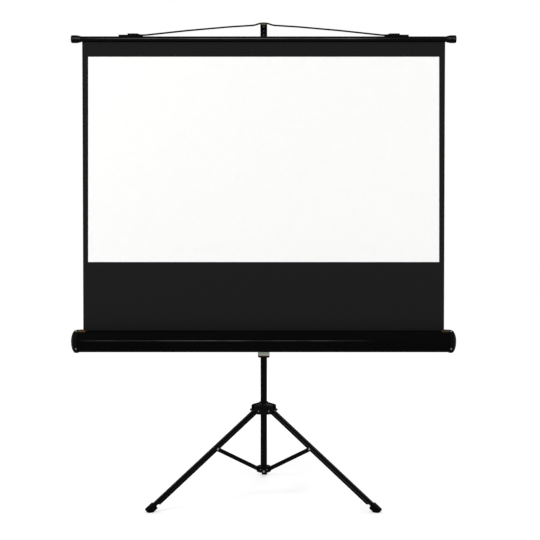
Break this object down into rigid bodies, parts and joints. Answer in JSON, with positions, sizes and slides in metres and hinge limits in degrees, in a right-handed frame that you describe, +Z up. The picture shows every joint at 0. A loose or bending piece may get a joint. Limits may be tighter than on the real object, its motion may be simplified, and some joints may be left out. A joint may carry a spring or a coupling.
{
  "type": "tripod projector screen",
  "caption": "Pull-up projection screen on a folding tripod, with a spring roller case, a sliding mast and a wire hanger on the top bar.",
  "frame": {"origin": "on the floor, under the middle of the bounding box", "axes": "+Z up, the picture faces -Y, +X to the right as the picture is seen"},
  "size_m": [1.46, 0.7468, 1.8256],
  "materials": {
    "black_enamel": "black enamel, satin",
    "black_plastic": "moulded, satin",
    "rubber": "moulded, matt",
    "zinc_plate": "zinc plated",
    "steel": "nickel plated",
    "spring_wire": "oiled, dark",
    "felt": "brown felt",
    "nylon": "natural",
    "screen_cloth": "matt white with a black mask border"
  },
  "bodies": {
    "stand": {"post_tube": "black_enamel", "post_mouth": "black_plastic", "lower_collar": "black_plastic", "collar_screw": "steel", "collar_pin_rear": "steel", "collar_pin_left": "steel", "collar_pin_right": "steel"},
    "hub": {"hub": "black_plastic", "hub_pin_rear_a": "steel", "hub_pin_rear_b": "steel", "hub_pin_left_a": "steel", "hub_pin_left_b": "steel", "hub_pin_right_a": "steel", "hub_pin_right_b": "steel"},
    "case": {"carriage_sleeve": "black_plastic", "case_bracket": "zinc_plate", "bracket_bolt": "steel", "swivel_nut": "steel", "case_saddle": "zinc_plate", "saddle_rivet_left": "steel", "saddle_rivet_right": "steel", "case_shell": "black_enamel", "slot_lip": "felt", "case_cap_left": "black_plastic", "case_cap_right": "black_plastic", "cap_screw_left_top": "steel", "cap_screw_right_top": "steel", "cap_screw_left_bottom": "steel", "cap_screw_right_bottom": "steel", "spring_spindle": "steel", "idler_pin": "steel", "roller_spring": "spring_wire"},
    "roller": {"roller_tube": "steel", "roller_plug_left": "nylon", "roller_plug_right": "nylon", "wound_cloth": "screen_cloth"},
    "bar": {"top_bar": "black_enamel", "bar_cap_left": "black_plastic", "bar_cap_right": "black_plastic", "bar_clamp_left": "black_plastic", "bar_clamp_right": "black_plastic", "screen_cloth": "screen_cloth"},
    "hanger": {"hanger_wire": "spring_wire"},
    "mast": {"mast_tube": "black_enamel", "mast_foot": "black_plastic", "mast_head": "black_plastic"},
    "mast_knob": {"mast_knob": "black_plastic"},
    "case_knob": {"carriage_knob": "black_plastic"},
    "strut_rear": {"strut_rear": "black_enamel"},
    "leg_rear": {"leg_rear": "black_enamel", "boot_rear": "rubber", "rivet_rear": "steel"},
    "strut_left": {"strut_left": "black_enamel"},
    "leg_left": {"leg_left": "black_enamel", "boot_left": "rubber", "rivet_left": "steel"},
    "strut_right": {"strut_right": "black_enamel"},
    "leg_right": {"leg_right": "black_enamel", "boot_right": "rubber", "rivet_right": "steel"}
  },
  "joints": [
    {"name": "hub_slide", "type": "slide", "parent": "stand", "child": "hub", "axis": [0, 0, 1], "range_m": [0, 0.1817]},
    {"name": "case_lift", "type": "slide", "parent": "stand", "child": "case", "axis": [0, 0, 1], "range_m": [0, 0.24]},
    {"name": "mast_slide", "type": "slide", "parent": "case", "child": "mast", "axis": [0, 0, 1], "range_m": [-0.61, 0]},
    {"name": "screen_pull", "type": "slide", "parent": "case", "child": "bar", "axis": [0, 0, 1], "range_m": [-0.61, 0], "deforming": ["screen_cloth"]},
    {"name": "roller_turn", "type": "hinge", "parent": "case", "child": "roller", "pos_m": [0, -0.21022, 0.611], "axis": [1, 0, 0], "range_deg": [-1812, 0]},
    {"name": "hanger_fold", "type": "hinge", "parent": "bar", "child": "hanger", "pos_m": [0, -0.18982, 1.77], "axis": [1, 0, 0], "range_deg": [0, 115]},
    {"name": "mast_knob_turn", "type": "hinge", "parent": "stand", "child": "mast_knob", "pos_m": [0, -0.09282, 1.151], "axis": [0, 1, 0], "range_deg": [0, 270]},
    {"name": "case_knob_turn", "type": "hinge", "parent": "case", "child": "case_knob", "pos_m": [0, -0.09312, 0.6015], "axis": [0, 1, 0], "range_deg": [0, 270]},
    {"name": "strut_rear_turn", "type": "hinge", "parent": "stand", "child": "strut_rear", "pos_m": [0, -0.09582, 0.114], "axis": [1, 0, 0], "range_deg": [0, 50.8]},
    {"name": "leg_rear_turn", "type": "hinge", "parent": "strut_rear", "child": "leg_rear", "pos_m": [0, 0.08525, 0.20728], "axis": [1, 0, 0], "range_deg": [-94.8, 0]},
    {"name": "strut_left_turn", "type": "hinge", "parent": "stand", "child": "strut_left", "pos_m": [-0.01905, -0.12882, 0.114], "axis": [-0.5, 0.866, 0], "range_deg": [0, 50.8]},
    {"name": "leg_left_turn", "type": "hinge", "parent": "strut_left", "child": "leg_left", "pos_m": [-0.17587, -0.21936, 0.20728], "axis": [-0.5, 0.866, 0], "range_deg": [-94.8, 0]},
    {"name": "strut_right_turn", "type": "hinge", "parent": "stand", "child": "strut_right", "pos_m": [0.01905, -0.12882, 0.114], "axis": [-0.5, -0.866, 0], "range_deg": [0, 50.8]},
    {"name": "leg_right_turn", "type": "hinge", "parent": "strut_right", "child": "leg_right", "pos_m": [0.17587, -0.21936, 0.20728], "axis": [-0.5, -0.866, 0], "range_deg": [-94.8, 0]}
  ],
  "couplings": [
    {"joint": "strut_rear_turn", "follows": "hub_slide", "rad_per_m": 4.8726},
    {"joint": "leg_rear_turn", "follows": "hub_slide", "rad_per_m": -9.099},
    {"joint": "strut_left_turn", "follows": "hub_slide", "rad_per_m": 4.8726},
    {"joint": "leg_left_turn", "follows": "hub_slide", "rad_per_m": -9.099},
    {"joint": "strut_right_turn", "follows": "hub_slide", "rad_per_m": 4.8726},
    {"joint": "leg_right_turn", "follows": "hub_slide", "rad_per_m": -9.099},
    {"joint": "screen_pull", "follows": "mast_slide", "ratio": 1},
    {"joint": "roller_turn", "follows": "mast_slide", "rad_per_m": 51.8}
  ]
}
